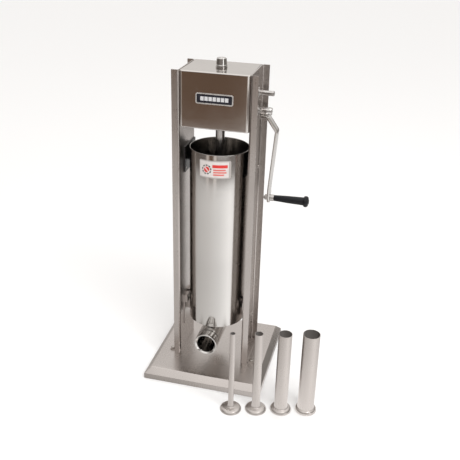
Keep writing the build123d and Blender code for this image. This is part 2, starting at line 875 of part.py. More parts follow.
def bracket_bolts():
    bolts = []
    for y, z in bracket_bolt_spots():
        shank = bar_x(bolt_radius, (web_x - bracket_plate, web_outer_x), y, z)
        head = bar_x(5, (web_outer_x, web_outer_x + 3), y, z)
        head = fillet(head.edges().sort_by(Axis.X)[-1], 2)
        bolts.append(shank + head)
    return Compound(children=bolts + [mirrored(bolt) for bolt in bolts])


def warning_label():
    """A thin plain sticker on the front of the cylinder."""
    middle = (label_low + label_high) / 2
    width = 2 * cylinder_radius * math.sin(math.radians(label_width_deg / 2))
    sheet = bar_z(cylinder_radius + 0.25, 0, 0, (label_low, label_high))
    sheet -= bar_z(cylinder_radius, 0, 0, (label_low - 1, label_high + 1))
    window = Box(100, width, label_high - label_low)
    window = fillet(window.edges().filter_by(Axis.X), 4)
    return sheet & (Rot(0, 0, label_centre_deg) * Pos(80, 0, middle) * window)


# ------------------------------------------------------ stuffing tubes
def stuffing_tube(radius, x, y):
    """A straight tube on a domed flange, standing on its flange."""
    inner = radius - tube_wall
    dome_top = 8.5
    neck_top = 13.0 + (tube_flange - radius) * 0.3
    neck_radius = radius + (tube_flange - radius) * 0.35
    with BuildSketch(Plane.XZ) as profile:
        with BuildLine():
            Line((inner, tube_length), (radius, tube_length))
            Line((radius, tube_length), (radius, neck_top))
            ThreePointArc(
                (radius, neck_top),
                (radius + (neck_radius - radius) * 0.3, (neck_top + dome_top) / 2 - 0.4),
                (neck_radius, dome_top + 0.6),
            )
            ThreePointArc(
                (neck_radius, dome_top + 0.6),
                ((neck_radius + tube_flange) / 2 + 1.2, dome_top * 0.72),
                (tube_flange, 1.6),
            )
            Line((tube_flange, 1.6), (tube_flange, 0))
            Line((tube_flange, 0), (inner + 1.5, 0))
            Line((inner + 1.5, 0), (inner, 6))
            Line((inner, 6), (inner, tube_length))
        make_face()
    return Pos(x, y, 0) * revolve(profile.sketch, Axis.Z)


def stuffing_tubes():
    tubes = {}
    for place, (letter, radius) in enumerate(tube_radii.items()):
        x = tube_row_start[0] + place * tube_row_step[0]
        y = tube_row_start[1] + place * tube_row_step[1]
        tubes["stuffing_tube_" + letter] = stuffing_tube(radius, x, y)
    return tubes


# -------------------------------------------------------------- output
right_hand = right_column()
right_low = right_lower_bracket()
right_high = right_upper_bracket()

nodes = {
    "base_tray": base_tray(),
    "base_bottom_plate": base_bottom_plate(),
    "rubber_mat": rubber_mat(),
    "right_column": right_hand,
    "left_column": mirrored(right_hand),
    "foot_plates": foot_plates(),
    "foot_bolts": foot_bolts(),
    "foot_nuts": foot_nuts(),
    "gearbox_hood": gearbox_hood(),
    "gearbox_rear_cover": gearbox_rear_cover(),
    "rear_cover_lugs": rear_cover_lugs(),
    "rear_cover_screws": rear_cover_screws(),
    "gearbox_floor_plate": gearbox_floor_plate(),
    "nameplate": nameplate(),
    "top_guide_bush": top_guide_bush(),
    "bottom_guide_bush": bottom_guide_bush(),
    "rack_guide_bar": rack_guide_bar(),
    "rack_guide_pad": rack_guide_pad(),
    "fast_shaft_bushes": shaft_bushes(fast_radius, fast_z),
    "slow_shaft_bushes": shaft_bushes(slow_radius, slow_z),
    "cylinder_shell": cylinder_shell(),
    "cylinder_bottom": cylinder_bottom(),
    "outlet_neck": outlet_neck(),
    "cylinder_pins": cylinder_pins(),
    "right_lower_bracket": right_low,
    "left_lower_bracket": mirrored(right_low),
    "right_upper_bracket": right_high,
    "left_upper_bracket": mirrored(right_high),
    "saddle_pads": saddle_pads(),
    "bracket_bolts": bracket_bolts(),
    "warning_label": warning_label(),
    "ring_nut": ring_nut(),
    "rack_rod": rack_rod(),
    "rod_cap": rod_cap(),
    "piston_top_plate": piston_top_plate(),
    "piston_seal": piston_seal(),
    "piston_bottom_plate": piston_bottom_plate(),
    "piston_lock_nut": piston_lock_nut(),
    "valve_cage": valve_cage(),
    "valve_stem": valve_stem(),
    "valve_spring": valve_spring(),
    "fast_shaft": fast_shaft(),
    "fast_shaft_keys": fast_shaft_keys(),
    "fast_shaft_collars": shaft_collars(fast_radius, fast_z),
    "rack_pinion": rack_pinion(),
    "large_gear": large_gear(),
    "slow_shaft": slow_shaft(),
    "slow_shaft_collars": shaft_collars(slow_radius, slow_z),
    "slow_pinion": slow_pinion(),
    "crank_hub": crank_hub(),
    "crank_set_screw": crank_set_screw(),
    "crank_arm": crank_arm(),
    "grip_spindle": grip_spindle(),
    "grip_ferrule": grip_ferrule(),
    "grip": grip(),
    "grip_end_plug": grip_end_plug(),
}
nodes.update(stuffing_tubes())

os.makedirs("parts", exist_ok=True)
for name, shape in nodes.items():
    export_step(shape, "parts/" + name + ".step")
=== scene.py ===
import json
import math

import bmesh
import bpy
from mathutils import Matrix, Vector

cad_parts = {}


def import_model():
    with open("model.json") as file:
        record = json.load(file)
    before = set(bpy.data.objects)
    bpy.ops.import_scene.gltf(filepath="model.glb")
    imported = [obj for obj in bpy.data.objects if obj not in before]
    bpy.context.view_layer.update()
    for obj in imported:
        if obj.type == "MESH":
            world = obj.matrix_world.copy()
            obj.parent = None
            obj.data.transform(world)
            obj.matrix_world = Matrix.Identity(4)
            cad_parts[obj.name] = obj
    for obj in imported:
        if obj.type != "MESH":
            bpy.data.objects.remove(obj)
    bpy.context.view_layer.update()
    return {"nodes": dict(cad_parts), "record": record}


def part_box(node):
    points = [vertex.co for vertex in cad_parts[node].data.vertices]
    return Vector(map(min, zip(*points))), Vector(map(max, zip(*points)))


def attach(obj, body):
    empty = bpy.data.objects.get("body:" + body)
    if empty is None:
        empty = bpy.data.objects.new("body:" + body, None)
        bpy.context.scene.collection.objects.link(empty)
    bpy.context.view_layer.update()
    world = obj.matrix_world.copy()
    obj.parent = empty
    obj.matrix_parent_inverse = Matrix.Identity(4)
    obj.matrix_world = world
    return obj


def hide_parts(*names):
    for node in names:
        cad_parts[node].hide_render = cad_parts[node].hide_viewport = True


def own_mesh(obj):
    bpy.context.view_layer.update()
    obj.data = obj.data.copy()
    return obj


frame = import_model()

NODES = frame["nodes"]
MM = 0.001


# ------------------------------------------------------------ node helpers
class Tree:
    """A short way to write node trees."""

    def __init__(self, node_tree, place="Object"):
        self.nodes = node_tree.nodes
        self.links = node_tree.links
        self.nodes.clear()
        self.place = self.nodes.new("ShaderNodeTexCoord").outputs[place]

    def scaled(self, scale):
        """The place stretched by a scale for each axis."""
        node = self.nodes.new("ShaderNodeMapping")
        node.inputs["Scale"].default_value = scale
        self.links.new(self.place, node.inputs["Vector"])
        return node.outputs[0]

    def split(self):
        node = self.nodes.new("ShaderNodeSeparateXYZ")
        self.links.new(self.place, node.inputs[0])
        return node.outputs

    def noise(self, vector, scale, detail=3.0, roughness=0.55, distortion=0.0):
        node = self.nodes.new("ShaderNodeTexNoise")
        node.inputs["Scale"].default_value = scale
        node.inputs["Detail"].default_value = detail
        node.inputs["Roughness"].default_value = roughness
        node.inputs["Distortion"].default_value = distortion
        self.links.new(vector, node.inputs["Vector"])
        return node.outputs["Fac"]

    def remap(self, value, low, high, out_low, out_high):
        node = self.nodes.new("ShaderNodeMapRange")
        pairs = (("From Min", low), ("From Max", high), ("To Min", out_low), ("To Max", out_high))
        for name, number in pairs:
            node.inputs[name].default_value = number
        self.links.new(value, node.inputs["Value"])
        return node.outputs[0]

    def math(self, operation, a, b=0.0):
        node = self.nodes.new("ShaderNodeMath")
        node.operation = operation
        for socket, value in zip(node.inputs, (a, b)):
            if isinstance(value, (int, float)):
                socket.default_value = value
            else:
                self.links.new(value, socket)
        return node.outputs[0]

    def within(self, value, low, high):
        """1 between two limits and 0 outside."""
        above = self.math("GREATER_THAN", value, low)
        return self.math("MULTIPLY", above, self.math("LESS_THAN", value, high))

    def patch(self, u, v, u_limits, v_limits):
        """1 inside a rectangle."""
        return self.math("MULTIPLY", self.within(u, *u_limits), self.within(v, *v_limits))

    def distance(self, u, v, centre):
        du = self.math("SUBTRACT", u, centre[0])
        dv = self.math("SUBTRACT", v, centre[1])
        square = self.math("ADD", self.math("MULTIPLY", du, du), self.math("MULTIPLY", dv, dv))
        return self.math("SQRT", square)

    def mix(self, factor, first, second):
        """Colour first where factor is 0, second where it is 1; either may be a socket."""
        node = self.nodes.new("ShaderNodeMix")
        node.data_type = "RGBA"
        self.links.new(factor, node.inputs[0])
        for socket, value in ((node.inputs[6], first), (node.inputs[7], second)):
            if isinstance(value, tuple):
                socket.default_value = (*value, 1.0)
            else:
                self.links.new(value, socket)
        return node.outputs[2]

    def ramp(self, value, stops):
        node = self.nodes.new("ShaderNodeValToRGB")
        elements = node.color_ramp.elements
        while len(elements) < len(stops):
            elements.new(0.5)
        for element, (position, color) in zip(elements, stops):
            element.position = position
            element.color = (*color, 1.0)
        self.links.new(value, node.inputs["Fac"])
        return node.outputs["Color"]

    def bump(self, height, distance, strength=1.0):
        node = self.nodes.new("ShaderNodeBump")
        node.inputs["Distance"].default_value = distance
        node.inputs["Strength"].default_value = strength
        self.links.new(height, node.inputs["Height"])
        return node.outputs["Normal"]

    def emission(self, color, strength):
        """A glowing surface, linked to the output."""
        glow = self.nodes.new("ShaderNodeEmission")
        glow.inputs["Strength"].default_value = strength
        self.links.new(color, glow.inputs["Color"])
        output = self.nodes.new("ShaderNodeOutputMaterial")
        self.links.new(glow.outputs[0], output.inputs["Surface"])


def new_material(name):
    material = bpy.data.materials.new(name)
    material.use_nodes = True
    return material


class Finish(Tree):
    """A material with one Principled shader."""

    def __init__(self, name):
        self.material = new_material(name)
        super().__init__(self.material.node_tree)
        self.shader = self.nodes.new("ShaderNodeBsdfPrincipled")
        output = self.nodes.new("ShaderNodeOutputMaterial")
        self.links.new(self.shader.outputs[0], output.inputs["Surface"])

    def set(self, **values):
        for name, value in values.items():
            self.shader.inputs[name.replace("_", " ")].default_value = value

    def feed(self, socket, value):
        self.links.new(value, self.shader.inputs[socket])


def steel(name, color, roughness, grain, depth=0.000012, spread=0.06, smudges=0.05):
    """Stainless steel with a directional grain, smudges, hairline scratches and slight tints."""
    tree = Finish(name)
    tree.set(Metallic=1.0)
    lines = tree.noise(tree.scaled(grain), 1.0, detail=4.0, roughness=0.7)
    smudge = tree.noise(tree.place, 11.0, detail=5.0, roughness=0.62, distortion=0.8)
    tint = tree.noise(tree.place, 5.0, detail=2.0)
    scratch_field = tree.noise(tree.scaled((260.0, 260.0, 30.0)), 1.0, detail=2.0, distortion=2.0)
    scratch = tree.remap(scratch_field, 0.7, 0.74, 0.0, 1.0)
    dark = tuple(c * 0.94 for c in color)
    light = tuple(min(1.0, c * 1.04) for c in color)
    tree.feed("Base Color", tree.ramp(tint, [(0.3, dark), (0.7, light)]))
    rough = tree.math(
        "ADD",
        tree.remap(lines, 0.3, 0.7, roughness - spread / 2, roughness + spread / 2),
        tree.remap(smudge, 0.4, 0.75, -smudges / 4, smudges),
    )
    rough = tree.math("ADD", rough, tree.math("MULTIPLY", scratch, 0.08))
    tree.feed("Roughness", rough)
    tree.feed("Normal", tree.bump(lines, depth))
    return tree.material


def plastic(name, color, roughness, grain=260.0, depth=0.00006, shine=0.5):
    """Moulded plastic or rubber with a fine leathery texture and handling marks."""
    tree = Finish(name)
    tree.set(Specular_IOR_Level=shine)
    texture = tree.noise(tree.place, grain, detail=2.0)
    smudge = tree.noise(tree.place, 30.0, detail=4.0)
    worn = tuple(min(1.0, c * 1.25 + 0.004) for c in color)
    tree.feed("Base Color", tree.ramp(smudge, [(0.35, color), (0.75, worn)]))
    tree.feed("Roughness", tree.remap(smudge, 0.3, 0.7, roughness - 0.06, roughness + 0.08))
    tree.feed("Normal", tree.bump(texture, depth, 0.5))
    return tree.material


def sticker(name, node):
    """A pale sticker with an abstract round sign and plain red bars, all without lettering.

    u runs round the cylinder and v up it, both from the sticker's middle and in metres.
    """
    low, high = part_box(node)
    middle_z = (low.z + high.z) / 2
    bulge = 0.02
    bearing = math.atan2((low.y + high.y) / 2 - bulge, (low.x + high.x) / 2)
    radius = -low.y
    tree = Finish(name)
    x, y, z = tree.split()
    turn = tree.math("SUBTRACT", tree.math("ARCTAN2", y, x), bearing)
    u = tree.math("MULTIPLY", turn, radius)
    v = tree.math("SUBTRACT", z, middle_z)
    fade = tree.noise(tree.place, 60.0, detail=3.0)
    color = tree.ramp(fade, [(0.3, (0.62, 0.57, 0.55)), (0.7, (0.70, 0.66, 0.64))])
    sign = (-0.0175, -0.001)
    disc = 0.0070
    ring_inner = 0.0088
    ring_outer = 0.0118
    slash_width = 0.0017
    away = tree.distance(u, v, sign)
    ring = tree.within(away, ring_inner, ring_outer)
    from_sign_u = tree.math("SUBTRACT", u, sign[0])
    from_sign_v = tree.math("SUBTRACT", v, sign[1])
    spin = tree.math("ARCTAN2", from_sign_v, from_sign_u)
    dash_count = 9.0
    wave = tree.math("SINE", tree.math("MULTIPLY", spin, dash_count))
    dashes = tree.math("GREATER_THAN", wave, -0.45)
    color = tree.mix(tree.math("MULTIPLY", ring, dashes), color, (0.02, 0.02, 0.022))
    inside = tree.math("LESS_THAN", away, disc)
    color = tree.mix(inside, color, (0.62, 0.03, 0.02))
    slash = tree.math("ABSOLUTE", tree.math("ADD", u, tree.math("SUBTRACT", v, sum(sign))))
    slash = tree.math("MULTIPLY", tree.math("LESS_THAN", slash, slash_width), inside)
    color = tree.mix(slash, color, (0.72, 0.68, 0.66))
    heading = tree.patch(u, v, (-0.0035, 0.0320), (0.0042, 0.0118))
    color = tree.mix(heading, color, (0.64, 0.03, 0.025))
    bar_pitch = 0.0058
    bar_height = 0.0036
    for row, reach in enumerate((0.0275, 0.0295, 0.0240)):
        top = 0.0010 - row * bar_pitch
        bar = tree.patch(u, v, (-0.0015, reach), (top - bar_height, top))
        color = tree.mix(bar, color, (0.66, 0.14, 0.12))
    edge = tree.patch(u, v, (-0.0350, 0.0350), (-0.0188, 0.0188))
    color = tree.mix(edge, (0.40, 0.37, 0.35), color)
    tree.feed("Base Color", color)
    tree.feed("Roughness", tree.remap(fade, 0.3, 0.7, 0.28, 0.42))
    tree.feed("Normal", tree.bump(fade, 0.00004))
    return tree.material


def enamel_plate(name, node):
    """A black enamelled plate with plain light blocks in place of a name, and a silvered rim.

    u runs across the plate and v up it, both from the plate's middle and in metres.
    """
    low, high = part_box(node)
    middle_x = (low.x + high.x) / 2
    middle_z = (low.z + high.z) / 2
    rim = 0.0026
    half_u = (high.x - low.x) / 2 - rim
    half_v = (high.z - low.z) / 2 - rim
    corner = 0.0022
    tree = Finish(name)
    x, _, z = tree.split()
    u = tree.math("SUBTRACT", x, middle_x)
    v = tree.math("SUBTRACT", z, middle_z)
    past = []
    for spot, half in ((u, half_u), (v, half_v)):
        beyond = tree.math("SUBTRACT", tree.math("ABSOLUTE", spot), half - corner)
        past.append(tree.math("MAXIMUM", beyond, 0.0))
    field = tree.math("LESS_THAN", tree.distance(*past, (0.0, 0.0)), corner)
    wear = tree.noise(tree.place, 90.0, detail=4.0)
    black = tree.ramp(wear, [(0.3, (0.006, 0.007, 0.012)), (0.7, (0.014, 0.015, 0.024))])
    silver = tree.ramp(wear, [(0.3, (0.52, 0.50, 0.48)), (0.7, (0.62, 0.60, 0.58))])
    color = tree.mix(field, silver, black)
    pitch = 0.0094
    gap = 0.0009
    block_count = 7
    half_row = block_count / 2 * pitch
    wave = tree.math("MODULO", tree.math("ADD", u, 3 * half_row), pitch)
    block = tree.within(wave, gap, pitch - gap)
    band = tree.patch(u, v, (-half_row, half_row), (-0.0046, 0.0046))
    color = tree.mix(tree.math("MULTIPLY", block, band), color, (0.58, 0.58, 0.59))
    tree.feed("Base Color", color)
    tree.feed("Metallic", tree.math("MULTIPLY", tree.math("SUBTRACT", 1.0, field), 0.55))
    tree.feed("Roughness", tree.remap(wear, 0.3, 0.7, 0.22, 0.36))
    tree.feed("Normal", tree.bump(wear, 0.00002))
    return tree.material


# ---------------------------------------------------------------- materials
# The depth of a fine grain in metres, and how dense brushed lines are along x, y and z.
FINE_GRAIN = 0.000004
UPRIGHT = (900.0, 900.0, 14.0)
ACROSS = (14.0, 900.0, 900.0)
ROUND = (60.0, 60.0, 1400.0)

looks = {
    "satin_sheet": steel("satin_sheet", (0.54, 0.50, 0.475), 0.28, UPRIGHT),
    "mirror_sheet": steel(
        "mirror_sheet", (0.64, 0.605, 0.575), 0.12, ACROSS, FINE_GRAIN, 0.03, 0.04
    ),
    "polished_steel": steel("polished_steel", (0.66, 0.64, 0.62), 0.13, ROUND, FINE_GRAIN, 0.04),
    # Near black: partly the brackets' own dark coating, partly painted shade for the gap between
    # the columns and the cylinder.
    "dark_cast": plastic("dark_cast", (0.010, 0.009, 0.009), 0.30, 120.0, 0.00012),
    "machined_steel": steel("machined_steel", (0.60, 0.58, 0.565), 0.20, ROUND),
    "fastener_steel": steel("fastener_steel", (0.48, 0.45, 0.42), 0.24, UPRIGHT),
    "guide_nylon": plastic("guide_nylon", (0.75, 0.73, 0.66), 0.5),
    "grip_plastic": plastic("grip_plastic", (0.007, 0.007, 0.009), 0.36, shine=0.28),
    "seal_rubber": plastic("seal_rubber", (0.60, 0.57, 0.50), 0.55),
    "mat_rubber": plastic("mat_rubber", (0.012, 0.011, 0.010), 0.55),
    "nameplate_metal": enamel_plate("nameplate_metal", "nameplate"),
    "label_vinyl": sticker("label_vinyl", "warning_label"),
}
# The tubes' bores: the same steel with shade painted in as a dark colour.
painted_shade_bore = steel("painted_shade_bore", (0.10, 0.092, 0.087), 0.34, UPRIGHT)
for entry in frame["record"]["subparts"]:
    node = NODES[entry["node"]]
    node.data.materials.clear()
    node.data.materials.append(looks[entry["material_slot"]])


# ------------------------------------------------------------ mesh helpers
def finish_mesh(name, body, slot, points, faces, replaced=(), sharp_deg=38.0):
    """Makes a piece from points and faces, with doubled points joined and smooth shading."""
    mesh = bpy.data.meshes.new(name)
    build = bmesh.new()
    corners = [build.verts.new(point) for point in points]
    for face in faces:
        build.faces.new([corners[index] for index in face])
    bmesh.ops.remove_doubles(build, verts=build.verts, dist=0.000002)
    bmesh.ops.dissolve_degenerate(build, edges=build.edges, dist=0.000001)
    loose = [edge for edge in build.edges if not edge.link_faces]
    bmesh.ops.delete(build, geom=loose, context="EDGES")
    bmesh.ops.recalc_face_normals(build, faces=build.faces)
    build.to_mesh(mesh)
    build.free()
    mesh.shade_smooth()
    mesh.set_sharp_from_angle(angle=math.radians(sharp_deg))
    piece = bpy.data.objects.new(name, mesh)
    bpy.context.scene.collection.objects.link(piece)
    mesh.materials.append(looks[slot])
    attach(piece, body)
    if replaced:
        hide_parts(*replaced)
    return piece


def skin(rows, loop_rows=False, caps=False):
    """Points and faces of a surface through rows of points; each row is a closed ring.

    loop_rows joins the last row to the first, and caps closes both ends.
    """
    width = len(rows[0])
    points = [point for row in rows for point in row]
    faces = []
    for r in range(len(rows) if loop_rows else len(rows) - 1):
        after = (r + 1) % len(rows)
        for c in range(width):
            d = (c + 1) % width
            faces.append((r * width + c, r * width + d, after * width + d, after * width + c))
    if caps:
        last = (len(rows) - 1) * width
        faces.append(tuple(range(width)))
        faces.append(tuple(last + c for c in range(width)))
    return points, faces


def soften(outline, closed=True, steps=5):
    """Rounds an outline's corners; each corner is (a, b, radius), in millimetres."""
    rounded = []
    count = len(outline)
    for i, (a, b, radius) in enumerate(outline):
        here = Vector((a, b))
        if radius <= 0 or (not closed and i in (0, count - 1)):
            rounded.append((a, b))
            continue
        before = Vector(outline[i - 1][:2]) - here
        after = Vector(outline[(i + 1) % count][:2]) - here
        half = before.angle(after) / 2
        reach = radius / math.tan(half)
        reach = min(reach, before.length * 0.49, after.length * 0.49)
        start = here + before.normalized() * reach
        end = here + after.normalized() * reach
        bow = reach * math.tan(half)
        inward = (before.normalized() + after.normalized()).normalized()
        centre = here + inward * (bow / math.sin(half))
        first = start - centre
        second = end - centre
        angle = math.atan2(first.y, first.x)
        sweep = math.atan2(second.y, second.x) - angle
        sweep = (sweep + math.pi) % (2 * math.pi) - math.pi
        for step in range(steps + 1):
            bearing = angle + sweep * step / steps
            bowed = Vector((math.cos(bearing), math.sin(bearing))) * first.length
            rounded.append(tuple(centre + bowed))
    return rounded


def around(axis, origin, radius, along, angle):
    """A point at a radius and angle round an axis, in metres."""
    c = radius * math.cos(angle)
    s = radius * math.sin(angle)
    x, y, z = origin
    if axis == "x":
        return (along * MM, (y + c) * MM, (z + s) * MM)
    if axis == "y":
        return ((x + c) * MM, along * MM, (z + s) * MM)
    return ((x + c) * MM, (y + s) * MM, along * MM)


def lathe(
    name, body, slot, axis, origin, outline, replaced=(), segments=128, shape=None, sharp_deg=38.0
):
    """A turned piece from (radius, along) spots; shape(radius, along, angle) may flute it."""
    rows = []
    for radius, along in outline:
        row = []
        for s in range(segments):
            angle = 2 * math.pi * s / segments
            true_radius = shape(radius, along, angle) if shape else radius
            row.append(around(axis, origin, true_radius, along, angle))
        rows.append(row)
    points, faces = skin(rows, loop_rows=True)
    return finish_mesh(name, body, slot, points, faces, replaced, sharp_deg)


def bead(name, body, slot, path, radius, ripple=1.6, flatness=0.55, normal=(0, 0, 1)):
    """A weld bead along a path in millimetres, with the scales a torch leaves."""
    spots = [Vector(point) for point in path]
    out = Vector(normal).normalized()
    sides = 10
    rows = []
    for start, end in zip(spots, spots[1:]):
        run = end - start
        steps = max(2, int(run.length / (ripple / 4)))
        side = run.normalized().cross(out).normalized()
        for step in range(steps + (end is spots[-1])):
            share = step / steps
            centre = start + run * share
            gone = share * run.length
            left = (1 - share) * run.length
            phase = (gone / ripple) % 1.0
            size = radius * (0.86 + 0.16 * math.sqrt(1 - phase))
            size *= min(1.0, (gone + 0.2) / radius, (left + 0.2) / radius)
            row = []
            for turn in range(sides):
                angle = 2 * math.pi * turn / sides
                point = centre + side * (size * math.cos(angle))
                point = point + out * (size * flatness * math.sin(angle))
                row.append(tuple(point * MM))
            rows.append(row)
    points, faces = skin(rows, caps=True)
    return finish_mesh(name, body, slot, points, faces)


def crisp(node_name, width):
    """Rounds a carried-over node's sharp edges without touching its mesh."""
    node = NODES[node_name]
    join = node.modifiers.new("join", "WELD")
    join.merge_threshold = 0.000005
    flat = node.modifiers.new("flat", "DECIMATE")
    flat.decimate_type = "DISSOLVE"
    flat.angle_limit = math.radians(0.4)
    round_over = node.modifiers.new("round", "BEVEL")
    round_over.width = width * MM
    round_over.segments = 2
    round_over.limit_method = "ANGLE"
    round_over.angle_limit = math.radians(50)
    round_over.harden_normals = True


# Carried-over nodes whose edges are rounded, with the bevel's width in millimetres.
CRISP = [
    ("right_column", 0.4),
    ("left_column", 0.4),
    ("gearbox_hood", 0.35),
    ("foot_bolts", 0.5),
    ("right_lower_bracket", 0.4),
    ("left_lower_bracket", 0.4),
    ("right_upper_bracket", 0.4),
    ("left_upper_bracket", 0.4),
    ("gearbox_rear_cover", 0.35),
    ("crank_hub", 0.4),
]

# ---------------------------------------------------------------- cylinder
def cylinder():
    """The thin rolled tube, with a turned rim and a ground weld seam down its back."""
    low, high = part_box("cylinder_shell")
    radius = high.x / MM
    bore = radius - 1.5
    bottom = low.z / MM
    rim = high.z / MM
    outline = soften([
        (bore, bottom, 0.3),
        (radius, bottom, 1.0),
        (radius, rim, 0.7),
        (bore, rim, 0.7),
    ])
    replaced = ["cylinder_shell"]
    lathe("cylinder_tube", "stand", "polished_steel", "z", (0, 0, 0), outline, replaced, 224)
    path = [(0, radius - 0.15, bottom + 2), (0, radius - 0.15, rim - 1.5)]
    bead("cylinder_seam", "stand", "polished_steel", path, 1.5, 2.4, 0.24, (0, 1, 0))


def ring_nut():
    """The fluted nut round the spout's mouth."""
    low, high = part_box("ring_nut")
    radius = high.x / MM
    centre_z = (low.z + high.z) / 2 / MM
    front = low.y / MM
    back = high.y / MM
    lip = 23.0
    thread = 26.08
    outline = soften([
        (lip, front + 3, 0.8),
        (26.6, front, 0.7),
        (radius, front, 1.4),
        (radius, front + 7, 0),
        (radius, front + 8, 0),
        (radius, front + 9.5, 0),
        (radius, back - 3, 0),
        (radius, back, 1.4),
        (thread, back, 0.6),
        (thread, front + 4, 0),
        (lip, front + 4, 0.4),
    ])

    flutes = 12
    flute_depth = 1.1
    flute_start = front + 6.8
    flute_run_in = 2.6

    def fluted(r, along, angle):
        if r < radius - 2.5:
            return r
        lobe = max(0.0, math.cos(flutes * (angle - math.radians(15)))) ** 3
        share = min(1.0, max(0.0, (along - flute_start) / flute_run_in))
        share = share * share * (3 - 2 * share)
        return r - flute_depth * lobe * share

    lathe(
        "ring_nut_turned", "ring_nut", "polished_steel", "y", (0, 0, centre_z), outline,
        ["ring_nut"], 240, fluted,
    )


def outlet():
    """A weld bead round the spout's neck, under the cylinder's floor."""
    floor_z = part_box("cylinder_bottom")[0].z / MM
    centre_y = -15.0
    ring = 23.6
    turns = 72
    path = []
    for t in range(turns + 1):
        angle = 2 * math.pi * t / turns
        path.append((ring * math.cos(angle), centre_y + ring * math.sin(angle), floor_z - 0.6))
    bead("outlet_weld", "stand", "polished_steel", path, 1.4, 2.0, 0.8, (0, 0, 1))


def stuffing_tube(letter):
    """A straight tube welded to a domed flange, its bore slightly rougher and painted dark as
    shade.

    Steel doesn't mirror it: it would show as dark lines in the cylinder.
    """
    node = "stuffing_tube_" + letter
    low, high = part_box(node)
    x = (low.x + high.x) / 2 / MM
    y = (low.y + high.y) / 2 / MM
    flange = (high.x - low.x) / 2 / MM
    length = high.z / MM
    radius = {"a": 6.5, "b": 10.0, "c": 16.0, "d": 20.0}[letter]
    inner = radius - 1.0
    dome = 9.4
    edge = 1.7
    outline = [
        (inner, length, 0.35),
        (radius, length, 0.35),
        (radius, dome, min(3.5, (flange - radius) * 0.3)),
    ]
    for step in range(3, 10):
        lean = math.radians(10 * step)
        across = radius + (flange - 0.3 - radius) * math.sin(lean)
        outline.append((across, edge + (dome - edge) * math.cos(lean), 0))
    outline += [
        (flange, 1.5, 0.5),
        (flange, 0, 0.5),
        (inner + 1.5, 0, 0.4),
        (inner, 6, 2.0),
    ]
    tube = lathe(
        "tube_" + letter, node, "satin_sheet", "z", (x, y, 0), soften(outline), [node], 112,
        sharp_deg=30.0,
    )
    tube.visible_glossy = False
    # Faces in the bore take the dark material that paints their shade.
    tube.data.materials.append(painted_shade_bore)
    for face in tube.data.polygons:
        across = math.hypot(face.center.x - x * MM, face.center.y - y * MM)
        if across < (inner + 0.1) * MM:
            face.material_index = 1


# ------------------------------------------------------------------- crank
def crank_arm():
    """A flat bar with softened edges: bent outwards, then down to a round end."""
    low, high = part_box("crank_arm")
    hub_low, hub_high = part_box("crank_hub")
    spindle_low, spindle_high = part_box("grip_spindle")
    y = (low.y + high.y) / 2 / MM
    width = (high.y - low.y) / MM
    thick = 6.0
    rounding = 1.1
    hub_radius = 9.0
    grip_z = (spindle_low.z + spindle_high.z) / 2 / MM
    start = low.x / MM
    slow_z = (hub_low.z + hub_high.z) / 2 / MM
    strap_z = slow_z - hub_radius - thick / 2 + 0.2
    foot_x = 118.5
    end_z = grip_z - width / 2
    spine = soften([
        (start + 0.05, strap_z, 0),
        (107, strap_z, 9),
        (130, 637, 9),
        (foot_x, 490, 9),
        (foot_x, end_z, 0),
    ], closed=False, steps=8)
    dense = []
    for (ax, az), (bx, bz) in zip(spine, spine[1:]):
        run = math.hypot(bx - ax, bz - az)
        steps = max(1, int(run / 6))
        for step in range(steps):
            share = step / steps
            dense.append((ax + (bx - ax) * share, az + (bz - az) * share))
    dense = [spot for spot in dense if spot[1] > grip_z + 1]
    end_steps = 12
    for step in range(end_steps + 1):
        lean = math.pi / 2 * step / end_steps
        dense.append((foot_x, grip_z - (width / 2 - 0.05) * math.sin(lean)))
    rows = []
    for i, (px, pz) in enumerate(dense):
        qx, qz = dense[min(i + 1, len(dense) - 1)]
        ox, oz = dense[max(i - 1, 0)]
        along = Vector((qx - ox, qz - oz)).normalized()
        out = Vector((-along.y, along.x))
        below = max(0.0, grip_z - pz)
        half = math.sqrt(max(0.0, (width / 2) ** 2 - below ** 2))
        edge = min(rounding, half)
        row = []
        for quarter, (side_y, side_t) in enumerate(((1, 1), (-1, 1), (-1, -1), (1, -1))):
            for step in range(4):
                lean = math.radians(90 * quarter + 30 * step)
                across = side_y * (half - edge) + edge * math.cos(lean)
                deep = side_t * (thick / 2 - rounding) + rounding * math.sin(lean)
                x = px + out.x * deep
                z = pz + out.y * deep
                row.append((x * MM, (y + across) * MM, z * MM))
        rows.append(row)
    points, faces = skin(rows, caps=True)
    finish_mesh("crank_strap", "slow_shaft_crank", "polished_steel", points, faces, ["crank_arm"])


def crank_weld():
    """Beads along both sides of the hub where it sits on the arm."""
    hub_low, hub_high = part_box("crank_hub")
    y = (hub_low.y + hub_high.y) / 2 / MM
    z = hub_low.z / MM
    start = hub_low.x / MM + 1.5
    end = hub_high.x / MM - 7
    apart = 4.6
    for edge, side in (("front", -1), ("rear", 1)):
        path = [(x, y + side * apart, z + 1.2) for x in (start, end)]
        name = "crank_weld_" + edge
        bead(name, "slow_shaft_crank", "polished_steel", path, 1.7, 1.8, 0.8, (0, side, 1))


